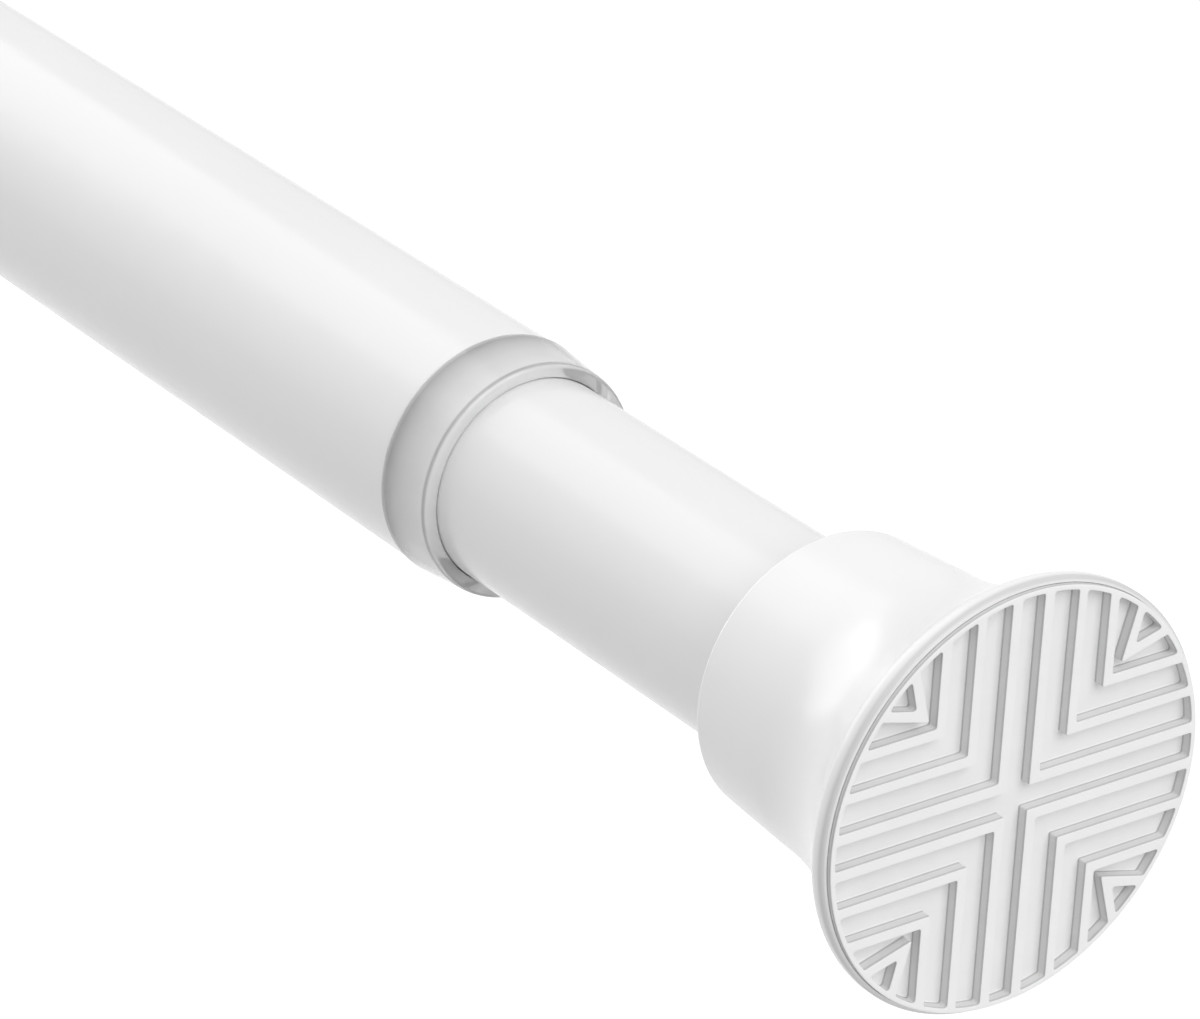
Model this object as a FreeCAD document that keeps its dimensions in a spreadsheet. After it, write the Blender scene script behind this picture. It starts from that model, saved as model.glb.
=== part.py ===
import FreeCAD, Part
import math
import os
import re

import Sketcher

# A spring tension rod: two steel tubes that slide one inside the other, a rubber-faced foot on
# each end, a clear collar in the mouth of the larger tube, and inside it a twist lock and a
# spring. The origin is the centre of the outer foot's tread face, +X runs along the rod to the
# inner foot and +Z is up. All sizes are millimetres, with the rod pulled out as it is at rest.

SIZES = {
    # Tubes
    "outer_tube_radius": 12.7,
    "inner_tube_radius": 10.765,
    "tube_wall": 0.7,
    "outer_tube_length": 392.45,
    "exposed_length": 46.15,
    "tube_seat": 4.25,
    "fit_clearance": 0.05,
    # Travel
    "spring_travel": 25.0,
    "shut_play": 4.0,
    # Feet
    "foot_depth": 28.1,
    "foot_mouth_radius": 14.15,
    "foot_lip_round": 0.45,
    "bead_width": 0.5,
    "bead_crest_depth": 1.55,
    "bead_back_depth": 2.6,
    "bead_back_width": 0.05,
    "flare_middle_depth": 10.25,
    "flare_middle_radius": 16.25,
    "flare_end_depth": 18.5,
    "flare_end_radius": 14.78,
    # Tread pads
    "pad_radius": 20.5,
    "pad_thickness": 1.8,
    "pad_proud": 0.5,
    "channel_depth": 1.2,
    "ring_width": 0.45,
    "rib_width": 0.88,
    "first_rib": 1.82,
    "second_rib": 5.6,
    "third_rib": 9.35,
    "vee_corner": 10.85,
    "vee_lean": 1.41,
    "vee_corner_width": 1.3,
    "vee_end_width": 0.74,
    "spigot_radius": 9.0,
    "spigot_length": 2.0,
    # Plugs in the tube ends
    "plug_length": 16.0,
    "plug_wall": 1.6,
    # Clear collar
    "collar_nose_length": 6.65,
    "collar_flange_radius": 12.88,
    "collar_nose_radius": 12.25,
    "collar_insert_length": 12.0,
    "collar_edge_round": 0.4,
    "collar_running_clearance": 0.1,
    # Expansion sleeve
    "sleeve_clearance": 0.2,
    "sleeve_length": 30.0,
    "sleeve_end_wall": 5.0,
    "sleeve_mouth_radius": 9.3,
    "sleeve_throat_radius": 5.3,
    "taper_length": 20.0,
    "slit_width": 2.4,
    "slit_length": 21.0,
    "grip_groove_width": 1.2,
    "grip_groove_depth": 0.5,
    "grip_groove_pitch": 4.5,
    # Wedge cone
    "cone_length": 22.0,
    "cone_rim": 1.5,
    "cone_draw": 4.0,
    "wedge_clearance": 0.05,
    "fin_clearance": 0.2,
    "fin_setback": 3.0,
    "fin_inset": 0.8,
    # Lock spindle, its washers, its nut and its screw
    "spindle_neck_radius": 2.6,
    "spindle_thread_radius": 4.0,
    "spindle_shank_width": 6.0,
    "spindle_stub_radius": 2.0,
    "spindle_stub_length": 5.5,
    "running_clearance": 0.08,
    "axial_play": 0.3,
    "thread_overrun": 1.0,
    "end_screw_head": 2.4,
    "end_screw_head_radius": 3.8,
    "end_screw_head_round": 1.2,
    "end_screw_radius": 1.5,
    "end_screw_length": 10.0,
    "end_washer_radius": 7.0,
    "end_washer_thickness": 1.2,
    "spindle_washer_radius": 9.0,
    "spindle_washer_thickness": 1.5,
    "nut_across_flats": 7.0,
    "nut_thickness": 3.2,
    # Guide bush
    "bush_flange": 3.0,
    "bush_length": 18.0,
    "bush_gap": 0.8,
    # Spring and its stop
    "spring_length": 80.0,
    "spring_mean_radius": 8.0,
    "spring_wire_radius": 0.8,
    "spring_turns": 8.0,
    "stop_length": 8.0,
    "stop_bore_radius": 3.0,
}

QUARTER_COUNT = 4
JAW_COUNT = 4
GROOVE_COUNT = 4
ARC_TO_CORNER = 1 - math.sqrt(0.5)
CORNER_SHARE = math.sqrt(0.5)
CUT_PAST = 1

# Stations along the rod, from the outer foot's face to the inner foot's face
MOUTH = "(tube_seat + outer_tube_length)"
INNER_FACE = f"({MOUTH} + collar_nose_length + exposed_length + foot_depth)"
LOCK_END = "(tube_seat + plug_length + shut_play + exposed_length - spring_travel)"
NECK_START = f"({LOCK_END} + end_screw_head + end_washer_thickness)"
SLEEVE_START = f"({NECK_START} + axial_play)"
SLEEVE_MOUTH = f"({SLEEVE_START} + sleeve_length)"
TAPER_RATE = "((sleeve_mouth_radius - sleeve_throat_radius) / taper_length)"
CONE_END = f"({SLEEVE_MOUTH} + cone_draw + cone_rim)"
CONE_START = f"({CONE_END} - cone_rim - cone_length)"
THREAD_END = f"({CONE_END} + thread_overrun)"
INNER_START = f"({THREAD_END} + bush_gap + spring_travel + bush_flange)"
BUSH_END = f"({INNER_START} + bush_length)"
SHANK_END = f"({BUSH_END} + axial_play)"
SPRING_START = f"({SHANK_END} + spindle_washer_thickness)"
STOP_START = f"({SPRING_START} + spring_length)"

# Radii that follow from the tubes
OUTER_BORE = "(outer_tube_radius - tube_wall)"
INNER_BORE = "(inner_tube_radius - tube_wall)"
SLEEVE_RADIUS = f"({OUTER_BORE} - sleeve_clearance)"
CONE_RIM_RADIUS = "(sleeve_mouth_radius - wedge_clearance)"
CONE_NOSE_RADIUS = f"({CONE_RIM_RADIUS} - cone_length * {TAPER_RATE})"
CONE_BORE = "(spindle_thread_radius + running_clearance)"

ALONG = FreeCAD.Rotation(FreeCAD.Vector(0, 1, 0), 90)
BACK = FreeCAD.Rotation(FreeCAD.Vector(0, 1, 0), -90)

# A sketch counts an edge's start, end and centre from 1, and its own origin as edge -1
START_POINT, END_POINT, CENTRE_POINT = range(1, 4)
ORIGIN = -1

doc = FreeCAD.newDocument("spring_tension_rod")
sheet = doc.addObject("Spreadsheet::Sheet", "sizes")
for row, (alias, size) in enumerate(SIZES.items(), start=1):
    sheet.set(f"A{row}", alias)
    sheet.set(f"B{row}", str(size))
    sheet.setAlias(f"B{row}", alias)
doc.recompute()

ALIASES = re.compile(r"\b(" + "|".join(SIZES) + r")\b")


def bound(text):
    """An expression whose words are read from the sheet."""
    return ALIASES.sub(r"sizes.\1", text)


def piece(label, start, turn=ALONG):
    """A body whose own Z lies along the rod, from a station on it."""
    body = doc.addObject("PartDesign::Body", label)
    body.Label = label
    body.Placement = FreeCAD.Placement(FreeCAD.Vector(), turn)
    body.setExpression("Placement.Base.x", bound(start))
    return body


def sketch_on(body, role, height="0"):
    """A sketch on one of the body's own planes, or above it."""
    sketch = body.newObject("Sketcher::SketchObject", "Sketch")
    plane = next(f for f in body.Origin.OriginFeatures if f.Role == role)
    sketch.AttachmentSupport = [(plane, "")]
    sketch.MapMode = "FlatFace"
    sketch.setExpression("AttachmentOffset.Base.z", bound(height))
    return sketch


def spot(sketch, corner):
    """Where a corner written as two expressions lies now."""
    across, up = (sketch.evalExpression(bound(text)) for text in corner)
    return FreeCAD.Vector(across, up, 0)


def fix(sketch, item, end, corner):
    """Hold one end of a line or arc at a corner written as two expressions."""
    place = spot(sketch, corner)
    for kind, text, value in (("DistanceX", corner[0], place.x), ("DistanceY", corner[1], place.y)):
        hold = Sketcher.Constraint(kind, ORIGIN, START_POINT, item, end, value)
        index = sketch.addConstraint(hold)
        sketch.setExpression(f"Constraints[{index}]", bound(text))


def outline(sketch, corners):
    """A closed outline. A corner with four expressions starts an arc through its second pair."""
    sides = []
    for number, corner in enumerate(corners):
        start = spot(sketch, corner[:2])
        finish = spot(sketch, corners[(number + 1) % len(corners)][:2])
        if len(corner) == 2:
            line = sketch.addGeometry(Part.LineSegment(start, finish))
            sides.append((line, START_POINT, END_POINT))
        else:
            arc = sketch.addGeometry(Part.Arc(start, spot(sketch, corner[2:]), finish))
            through = sketch.addGeometry(Part.Point(spot(sketch, corner[2:])), True)
            fix(sketch, through, START_POINT, corner[2:])
            sketch.addConstraint(Sketcher.Constraint("PointOnObject", through, START_POINT, arc))
            arc_start = sketch.getPoint(arc, START_POINT)
            forward = arc_start.distanceToPoint(start) < arc_start.distanceToPoint(finish)
            ends = (START_POINT, END_POINT) if forward else (END_POINT, START_POINT)
            sides.append((arc, *ends))
    for number, (item, first, last) in enumerate(sides):
        fix(sketch, item, first, corners[number][:2])
        following, next_first, _ = sides[(number + 1) % len(sides)]
        sketch.addConstraint(Sketcher.Constraint("Coincident", item, last, following, next_first))


def circle(sketch, radius):
    """A circle round the sketch's origin."""
    size = sketch.evalExpression(bound(radius))
    ring = sketch.addGeometry(Part.Circle(FreeCAD.Vector(), FreeCAD.Vector(0, 0, 1), size))
    centred = Sketcher.Constraint("Coincident", ring, CENTRE_POINT, ORIGIN, START_POINT)
    sketch.addConstraint(centred)
    index = sketch.addConstraint(Sketcher.Constraint("Radius", ring, size))
    sketch.setExpression(f"Constraints[{index}]", bound(radius))


def box_corners(left, right, low, high):
    """The corners of a rectangle, from its four sides."""
    return [(left, low), (right, low), (right, high), (left, high)]


def turned(body, corners):
    """Turn an outline of (radius, station) corners about the body's Z."""
    sketch = sketch_on(body, "XZ_Plane")
    outline(sketch, corners)
    turn = body.newObject("PartDesign::Revolution", "Turned")
    turn.Profile = sketch
    turn.ReferenceAxis = (sketch, ["V_Axis"])
    turn.Angle = 360
    sketch.Visibility = False
    return turn


def raised(body, draw, height, length):
    """Pad what draw puts in a sketch that lies at a height along the body's Z."""
    sketch = sketch_on(body, "XY_Plane", height)
    draw(sketch)
    pad = body.newObject("PartDesign::Pad", "Raised")
    pad.Profile = sketch
    pad.setExpression("Length", bound(length))
    sketch.Visibility = False
    return pad


def cut_down(body, draw, height, length):
    """Pocket what draw puts in a sketch, from a height towards the body's start."""
    sketch = sketch_on(body, "XY_Plane", height)
    draw(sketch)
    pocket = body.newObject("PartDesign::Pocket", "Cut")
    pocket.Profile = sketch
    pocket.setExpression("Length", bound(length))
    sketch.Visibility = False
    return pocket


def around(body, feature, count):
    """Repeat a feature at equal angles about the body's Z."""
    pattern = body.newObject("PartDesign::PolarPattern", "Around")
    pattern.Originals = [feature]
    pattern.Axis = (next(f for f in body.Origin.OriginFeatures if f.Role == "Z_Axis"), [""])
    pattern.Angle = 360
    pattern.Occurrences = count
    body.Tip = pattern
    return pattern


def ring(label, start, radius, bore, length):
    """A tube, washer or sleeve with square ends."""
    body = piece(label, start)

    def section(sketch):
        circle(sketch, radius)
        circle(sketch, bore)

    raised(body, section, "0", length)
    return body


def foot_shell(label, tube_radius, start, turn):
    """A moulded foot: a thick collar that flares into a round disc with a beaded rim."""
    body = piece(label, start, turn)
    bore = f"{tube_radius} + fit_clearance"
    seat = "(pad_radius + fit_clearance)"
    spigot_hole = "spigot_radius + fit_clearance"
    lip = f"foot_lip_round * {ARC_TO_CORNER}"
    turned(body, [
        (spigot_hole, "pad_thickness"),
        (seat, "pad_thickness"),
        (seat, "pad_proud", f"{seat} + bead_width", "bead_crest_depth"),
        (f"{seat} + bead_back_width", "bead_back_depth", "flare_middle_radius", "flare_middle_depth"),
        ("flare_end_radius", "flare_end_depth"),
        ("foot_mouth_radius", "foot_depth - foot_lip_round",
         f"foot_mouth_radius - {lip}", f"foot_depth - {lip}"),
        ("foot_mouth_radius - foot_lip_round", "foot_depth"),
        (bore, "foot_depth"),
        (bore, "tube_seat"),
        (spigot_hole, "tube_seat"),
    ])


def angled_rib(sketch, place):
    """An L-shaped rib whose corner points at the middle of the tread."""
    rim = "(pad_radius - ring_width / 2)"
    outer = f"({place} - rib_width / 2)"
    inner = f"({place} + rib_width / 2)"
    outer_end = f"sqrt({rim}^2 - {outer}^2)"
    inner_end = f"sqrt({rim}^2 - {inner}^2)"
    outline(sketch, [
        (outer, outer), (outer_end, outer), (inner_end, inner),
        (inner, inner), (inner, inner_end), (outer, outer_end),
    ])


def vee_rib(sketch):
    """The outermost rib, a narrower V whose arms lean in towards the diagonal."""
    rim = "(pad_radius - ring_width / 2)"
    tip = "vee_corner"
    arm = "(vee_corner + vee_lean)"
    inner_tip = "(vee_corner + vee_corner_width)"
    inner_arm = "(vee_corner + vee_lean + vee_end_width)"
    arm_end = f"sqrt({rim}^2 - {arm}^2)"
    inner_arm_end = f"sqrt({rim}^2 - {inner_arm}^2)"
    outline(sketch, [
        (tip, tip), (arm_end, arm), (inner_arm_end, inner_arm),
        (inner_tip, inner_tip), (inner_arm, inner_arm_end), (arm, arm_end),
    ])


def tread_pad(label, start, turn):
    """The rubber pad: nested angled ribs in each quarter, round a cross of open channels."""
    body = piece(label, start, turn)
    raised(body, lambda s: circle(s, "pad_radius"), "channel_depth", "pad_thickness - channel_depth")

    def rim(sketch):
        circle(sketch, "pad_radius")
        circle(sketch, "pad_radius - ring_width")

    raised(body, rim, "0", "channel_depth")
    raised(body, lambda s: circle(s, "spigot_radius"), "pad_thickness", "spigot_length")

    def quarter(sketch):
        for place in ("first_rib", "second_rib", "third_rib"):
            angled_rib(sketch, place)
        vee_rib(sketch)

    around(body, raised(body, quarter, "0", "channel_depth"), QUARTER_COUNT)


def tube_plug(label, bore, start, turn):
    """A moulded cup that keeps a tube's end round, its closed end against the foot."""
    body = piece(label, start, turn)
    radius = f"{bore} - fit_clearance"
    turned(body, [
        ("0", "0"), (radius, "0"), (radius, "plug_length"),
        (f"{radius} - plug_wall", "plug_length"), (f"{radius} - plug_wall", "plug_wall"),
        ("0", "plug_wall"),
    ])


def clear_collar():
    """The clear ring in the outer tube's mouth, with a tapered nose outside it."""
    body = piece("clear_collar", MOUTH)
    bore = "inner_tube_radius + collar_running_clearance"
    insert = f"{OUTER_BORE} - fit_clearance"
    edge = f"collar_edge_round * {ARC_TO_CORNER}"
    turned(body, [
        (bore, "0 - collar_insert_length"),
        (insert, "0 - collar_insert_length"),
        (insert, "0"),
        ("collar_flange_radius", "0"),
        ("collar_nose_radius", "collar_nose_length - collar_edge_round",
         f"collar_nose_radius - {edge}", f"collar_nose_length - {edge}"),
        ("collar_nose_radius - collar_edge_round", "collar_nose_length"),
        (bore, "collar_nose_length"),
    ])


def expansion_sleeve():
    """The split sleeve whose jaws the cone spreads against the outer tube."""
    body = piece("expansion_sleeve", SLEEVE_START)
    neck_hole = "spindle_neck_radius + running_clearance"
    turned(body, [
        (neck_hole, "0"), (SLEEVE_RADIUS, "0"), (SLEEVE_RADIUS, "sleeve_length"),
        ("sleeve_mouth_radius", "sleeve_length"),
        ("sleeve_throat_radius", "sleeve_length - taper_length"),
        ("sleeve_throat_radius", "sleeve_end_wall"), (neck_hole, "sleeve_end_wall"),
    ])
    sketch = sketch_on(body, "XZ_Plane")
    low = "sleeve_length - grip_groove_pitch"
    outline(sketch, box_corners(f"{SLEEVE_RADIUS} - grip_groove_depth", f"{SLEEVE_RADIUS} + {CUT_PAST}",
                                low, f"{low} + grip_groove_width"))
    groove = body.newObject("PartDesign::Groove", "GripGroove")
    groove.Profile = sketch
    groove.ReferenceAxis = (sketch, ["V_Axis"])
    groove.Angle = 360
    row = body.newObject("PartDesign::LinearPattern", "GripGrooves")
    row.Originals = [groove]
    row.Direction = (sketch, ["V_Axis"])
    row.Reversed = True
    row.Occurrences = GROOVE_COUNT
    row.setExpression("Length", bound(f"grip_groove_pitch * {GROOVE_COUNT - 1}"))
    body.Tip = row

    def slit(sketch):
        half = "slit_width / 2"
        outline(sketch, box_corners("0", f"{SLEEVE_RADIUS} + {CUT_PAST}", f"0 - {half}", half))

    around(body, cut_down(body, slit, "sleeve_length", "slit_length"), JAW_COUNT)


def wedge_cone():
    """The threaded cone that the spindle draws into the sleeve, keyed in its slits by fins."""
    body = piece("wedge_cone", CONE_START)
    full_length = "cone_length + cone_rim"
    turned(body, [
        ("0", "0"), (CONE_NOSE_RADIUS, "0"), (CONE_RIM_RADIUS, "cone_length"),
        (CONE_RIM_RADIUS, full_length), ("0", full_length),
    ])

    def fin(sketch):
        half = "(slit_width / 2 - fin_clearance)"
        outline(sketch, box_corners("0", f"{SLEEVE_RADIUS} - fin_inset", f"0 - {half}", half))

    fins = raised(body, fin, "fin_setback", "cone_length + cone_rim - fin_setback")
    around(body, fins, JAW_COUNT)
    cut_down(body, lambda s: circle(s, CONE_BORE), full_length, full_length)


def lock_spindle():
    """The shaft of the twist lock: neck, screw, square shank and a round stub for the nut."""
    body = piece("lock_spindle", NECK_START)
    neck_end = "(sleeve_end_wall + axial_play * 2)"
    thread_end = f"({THREAD_END} - {NECK_START})"
    shank_end = f"({SHANK_END} - {NECK_START})"
    screw_hole = "end_screw_radius + fit_clearance"
    screw_depth = "end_screw_length"
    turned(body, [
        (screw_hole, "0"), ("spindle_neck_radius", "0"), ("spindle_neck_radius", neck_end),
        ("spindle_thread_radius", neck_end), ("spindle_thread_radius", thread_end),
        ("0", thread_end), ("0", screw_depth), (screw_hole, screw_depth),
    ])

    def square(sketch):
        half = "spindle_shank_width / 2"
        outline(sketch, box_corners(f"0 - {half}", half, f"0 - {half}", half))

    raised(body, square, thread_end, f"{shank_end} - {thread_end}")
    raised(body, lambda s: circle(s, "spindle_stub_radius"), shank_end, "spindle_stub_length")


def spindle_nut():
    """The hexagon nut that holds the spring's washer on the spindle."""
    body = piece("spindle_nut", SPRING_START)
    half = "nut_across_flats / 2"
    corner = "nut_across_flats / sqrt(3)"
    half_corner = f"({corner} / 2)"

    def hexagon(sketch):
        outline(sketch, [
            (corner, "0"), (half_corner, half), (f"0 - {half_corner}", half),
            (f"0 - {corner}", "0"), (f"0 - {half_corner}", f"0 - {half}"),
            (half_corner, f"0 - {half}"),
        ])
        circle(sketch, "spindle_stub_radius + fit_clearance")

    raised(body, hexagon, "0", "nut_thickness")


def end_screw():
    """The pan-head screw that holds the sleeve on the spindle's neck."""
    body = piece("end_screw", LOCK_END)
    shank_end = "end_screw_head + end_washer_thickness + end_screw_length - axial_play"
    edge = f"end_screw_head_round * {ARC_TO_CORNER}"
    turned(body, [
        ("0", "0"),
        ("end_screw_head_radius - end_screw_head_round", "0", f"end_screw_head_radius - {edge}", edge),
        ("end_screw_head_radius", "end_screw_head_round"),
        ("end_screw_head_radius", "end_screw_head"),
        ("end_screw_radius", "end_screw_head"),
        ("end_screw_radius", shank_end), ("0", shank_end),
    ])


def guide_bush():
    """The bush in the inner tube's end, with a square hole that turns and guides the spindle."""
    body = piece("guide_bush", f"{INNER_START} - bush_flange")
    full_length = "bush_flange + bush_length"
    body_radius = f"{INNER_BORE} - fit_clearance"
    turned(body, [
        ("0", "0"), (SLEEVE_RADIUS, "0"), (SLEEVE_RADIUS, "bush_flange"),
        (body_radius, "bush_flange"), (body_radius, full_length), ("0", full_length),
    ])

    def square(sketch):
        half = "(spindle_shank_width / 2 + running_clearance)"
        outline(sketch, box_corners(f"0 - {half}", half, f"0 - {half}", half))

    cut_down(body, square, full_length, full_length)


def compression_spring():
    """The coil spring between the spindle's washer and the stop, its wire drawn with eight flats."""
    body = piece("compression_spring", SPRING_START)
    sketch = sketch_on(body, "XZ_Plane")
    seat = "(spring_wire_radius + fit_clearance)"
    full, part = "spring_wire_radius", f"(spring_wire_radius * {CORNER_SHARE})"
    reach = [(full, "0"), (part, part), ("0", full), (f"0 - {part}", part),
             (f"0 - {full}", "0"), (f"0 - {part}", f"0 - {part}"), ("0", f"0 - {full}"),
             (part, f"0 - {part}")]
    outline(sketch, [(f"spring_mean_radius + {across}", f"{seat} + {up}") for across, up in reach])
    coil = body.newObject("PartDesign::AdditiveHelix", "Coil")
    coil.Profile = sketch
    coil.ReferenceAxis = (sketch, ["V_Axis"])
    coil.Mode = "height-turns-angle"
    coil.setExpression("Height", bound(f"spring_length - {seat} * 2"))
    coil.setExpression("Turns", bound("spring_turns"))


ring("outer_tube", "tube_seat", "outer_tube_radius", OUTER_BORE, "outer_tube_length")
ring("inner_tube", INNER_START, "inner_tube_radius", INNER_BORE,
     f"{INNER_FACE} - tube_seat - {INNER_START}")
foot_shell("outer_foot_shell", "outer_tube_radius", "0", ALONG)
foot_shell("inner_foot_shell", "inner_tube_radius", INNER_FACE, BACK)
tread_pad("outer_tread_pad", "0", ALONG)
tread_pad("inner_tread_pad", INNER_FACE, BACK)
tube_plug("outer_tube_plug", OUTER_BORE, "tube_seat", ALONG)
tube_plug("inner_tube_plug", INNER_BORE, f"{INNER_FACE} - tube_seat", BACK)
clear_collar()
expansion_sleeve()
wedge_cone()
lock_spindle()
ring("end_washer", f"{LOCK_END} + end_screw_head", "end_washer_radius",
     "end_screw_radius + fit_clearance", "end_washer_thickness")
end_screw()
ring("spindle_washer", SHANK_END, "spindle_washer_radius",
     "spindle_stub_radius + fit_clearance", "spindle_washer_thickness")
spindle_nut()
guide_bush()
compression_spring()
ring("spring_stop", STOP_START, f"{INNER_BORE} - fit_clearance", "stop_bore_radius", "stop_length")

doc.recompute()

failed = [o.Name for o in doc.Objects if "Invalid" in o.State or "Error" in o.State]
if failed:
    raise RuntimeError(f"these objects failed: {failed}")

pieces = [o for o in doc.Objects if o.TypeId == "PartDesign::Body"]
for body in pieces:
    if body.Shape.isNull() or not body.Shape.isValid() or len(body.Shape.Solids) != 1:
        raise RuntimeError(f"{body.Label} isn't one valid solid")

os.makedirs("parts", exist_ok=True)
for body in pieces:
    body.Shape.exportStep(f"parts/{body.Label}.step")
    box = body.Shape.BoundBox
    print(f"{body.Label}: x {box.XMin:.2f} to {box.XMax:.2f}, volume {body.Shape.Volume:.1f}")
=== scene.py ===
# %% [markdown]
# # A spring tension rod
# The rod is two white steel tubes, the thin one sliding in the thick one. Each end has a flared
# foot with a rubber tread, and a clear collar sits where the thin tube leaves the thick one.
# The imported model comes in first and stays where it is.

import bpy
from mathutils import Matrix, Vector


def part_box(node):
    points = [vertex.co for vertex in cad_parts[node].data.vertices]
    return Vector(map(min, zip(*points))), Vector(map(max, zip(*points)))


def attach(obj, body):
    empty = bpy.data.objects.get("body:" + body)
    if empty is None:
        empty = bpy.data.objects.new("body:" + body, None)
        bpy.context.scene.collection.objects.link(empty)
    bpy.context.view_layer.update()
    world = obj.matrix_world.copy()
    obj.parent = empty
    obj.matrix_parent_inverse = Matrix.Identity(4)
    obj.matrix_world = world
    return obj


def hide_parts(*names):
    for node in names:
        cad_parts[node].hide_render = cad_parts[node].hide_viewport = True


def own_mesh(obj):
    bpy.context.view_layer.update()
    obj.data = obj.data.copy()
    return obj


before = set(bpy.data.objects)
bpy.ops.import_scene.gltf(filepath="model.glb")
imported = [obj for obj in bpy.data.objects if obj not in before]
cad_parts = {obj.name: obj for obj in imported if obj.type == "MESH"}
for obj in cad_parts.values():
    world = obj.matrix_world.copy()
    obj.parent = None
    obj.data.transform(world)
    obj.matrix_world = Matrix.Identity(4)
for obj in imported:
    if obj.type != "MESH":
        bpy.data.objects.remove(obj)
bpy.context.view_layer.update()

# %% [markdown]
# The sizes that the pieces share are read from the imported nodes, so that the looks can't drift
# from the construction. What a box can't tell, such as a bore, is typed in millimetres below,
# where the piece that needs it is made. Blender itself works in metres.

# %% Sizes read from the nodes
import math

import bpy
from mathutils import Matrix, Vector

MM = 0.001
low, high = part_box("outer_tube")
OUTER_RADIUS = high.z
MOUTH = high.x
low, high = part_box("inner_tube")
INNER_RADIUS = high.z
INNER_START = low.x
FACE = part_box("inner_tread_pad")[1].x
TUBE_WALL = 0.7 * MM
OUTER_BORE = OUTER_RADIUS - TUBE_WALL
INNER_BORE = INNER_RADIUS - TUBE_WALL
SEAT = 4.25 * MM
FIT = 0.05 * MM
SQUARE_CORNER = math.sqrt(0.5)
print("mouth at", round(MOUTH, 5), "face at", round(FACE, 5))

# %% [markdown]
# The camera stands where the photograph was taken from. The tread's rim, the collar's two edges
# and the tubes' long edges were measured in the picture, and the camera was fitted to them: its
# place, the directions of its right and its up, and its lens. Seen back through that camera, the
# tread's ribs lie square. The lens is long, as for a product picture, so the rod hardly tapers.

# %% Set the camera
CAMERA_PLACE = Vector((FACE + 314.17 * MM, -282.19 * MM, 230.85 * MM))
RIGHT = Vector((0.58182, 0.81216, 0.04336))
UP = Vector((-0.37851, 0.2232, 0.89828))
LENS = 164.87
SENSOR = 36
NEAREST_SEEN = 0.01

axes = Matrix((RIGHT, UP, RIGHT.cross(UP))).transposed().to_4x4()
bpy.ops.object.camera_add()
camera = bpy.context.object
camera.name = "camera"
camera.matrix_world = Matrix.Translation(CAMERA_PLACE) @ axes
camera.data.sensor_width = SENSOR
camera.data.lens = LENS
camera.data.clip_start = NEAREST_SEEN
bpy.context.scene.camera = camera
print("camera at", [round(v, 4) for v in camera.matrix_world.translation])

# %% [markdown]
# Nearly every piece of a rod is turned on the same axis: tubes, feet, collar and pads are all
# rings of points drawn out along it. So one helper starts with a circle, extrudes it from corner
# to corner of the piece's outline, and sets each new ring's radius as it goes. At the end the
# last ring is bridged to the first. That keeps a real wall with an inside and an outside.

# %% A helper that turns a piece
AROUND = 192


def only(piece):
    """Select one piece and nothing else."""
    bpy.ops.object.select_all(action="DESELECT")
    piece.select_set(True)
    bpy.context.view_layer.objects.active = piece


def start_ring(name, x, radius):
    """Add a ring of points square to the rod."""
    bpy.ops.object.select_all(action="DESELECT")
    bpy.ops.mesh.primitive_circle_add(vertices=AROUND, radius=radius, location=(x, 0, 0),
                                      rotation=(0, math.radians(90), 0))
    piece = bpy.context.object
    piece.name = piece.data.name = name
    bpy.ops.object.transform_apply(location=True, rotation=True, scale=True)
    return piece


def draw_ring(outline):
    """Draw the selected ring out through each (x, radius) corner of an outline."""
    for (x, radius), (next_x, next_radius) in zip(outline, outline[1:]):
        bpy.ops.mesh.extrude_region_move(TRANSFORM_OT_translate={"value": (next_x - x, 0, 0)})
        ratio = next_radius / radius
        bpy.ops.transform.resize(value=(1, ratio, ratio), center_override=(next_x, 0, 0))


def turned(name, outline):
    """A closed wall of rings that follows an outline of (x, radius) corners."""
    piece = start_ring(name, *outline[0])
    bpy.ops.object.mode_set(mode="EDIT")
    bpy.ops.mesh.select_all(action="SELECT")
    draw_ring(outline)
    bpy.ops.mesh.select_all(action="DESELECT")
    bpy.ops.mesh.select_non_manifold()
    bpy.ops.mesh.bridge_edge_loops()
    bpy.ops.mesh.select_all(action="SELECT")
    bpy.ops.mesh.normals_make_consistent(inside=False)
    bpy.ops.object.mode_set(mode="OBJECT")
    return piece


# %% [markdown]
# No real edge is sharp: a cut tube is deburred and a moulding has a small radius. A ring of edges
# is found by its place on the rod and its radius, and bevelled in a few segments, so that it
# catches a thin line of light as the mouth of the tube does in the picture.

# %% A helper that rounds rings
NEAR = 0.002 * MM


def select_edges(piece, wanted):
    """Select the edges whose both ends pass a test, ready for edge work in edit mode."""
    only(piece)
    mesh = piece.data
    for face in mesh.polygons:
        face.select = False
    for vertex in mesh.vertices:
        vertex.select = wanted(vertex.co)
    for edge in mesh.edges:
        edge.select = all(mesh.vertices[v].select for v in edge.vertices)
    bpy.context.tool_settings.mesh_select_mode = (False, True, False)
    bpy.ops.object.mode_set(mode="EDIT")


def round_ring(piece, x, radius, size, segments=4):
    """Bevel the ring of edges at one place and radius."""

    def on_ring(point):
        return abs(point.x - x) < NEAR and abs(math.hypot(point.y, point.z) - radius) < NEAR

    select_edges(piece, on_ring)
    bpy.ops.mesh.bevel(offset=size, segments=segments, profile=0.5, clamp_overlap=True)
    bpy.ops.object.mode_set(mode="OBJECT")
    bpy.context.tool_settings.mesh_select_mode = (True, False, False)


# %% [markdown]
# A finished piece is shaded smooth, with its normals weighted by face size, so that flats stay
# flat and only the small rounds turn the light. Then it gets its material, rides on its body,
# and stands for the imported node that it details.

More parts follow.
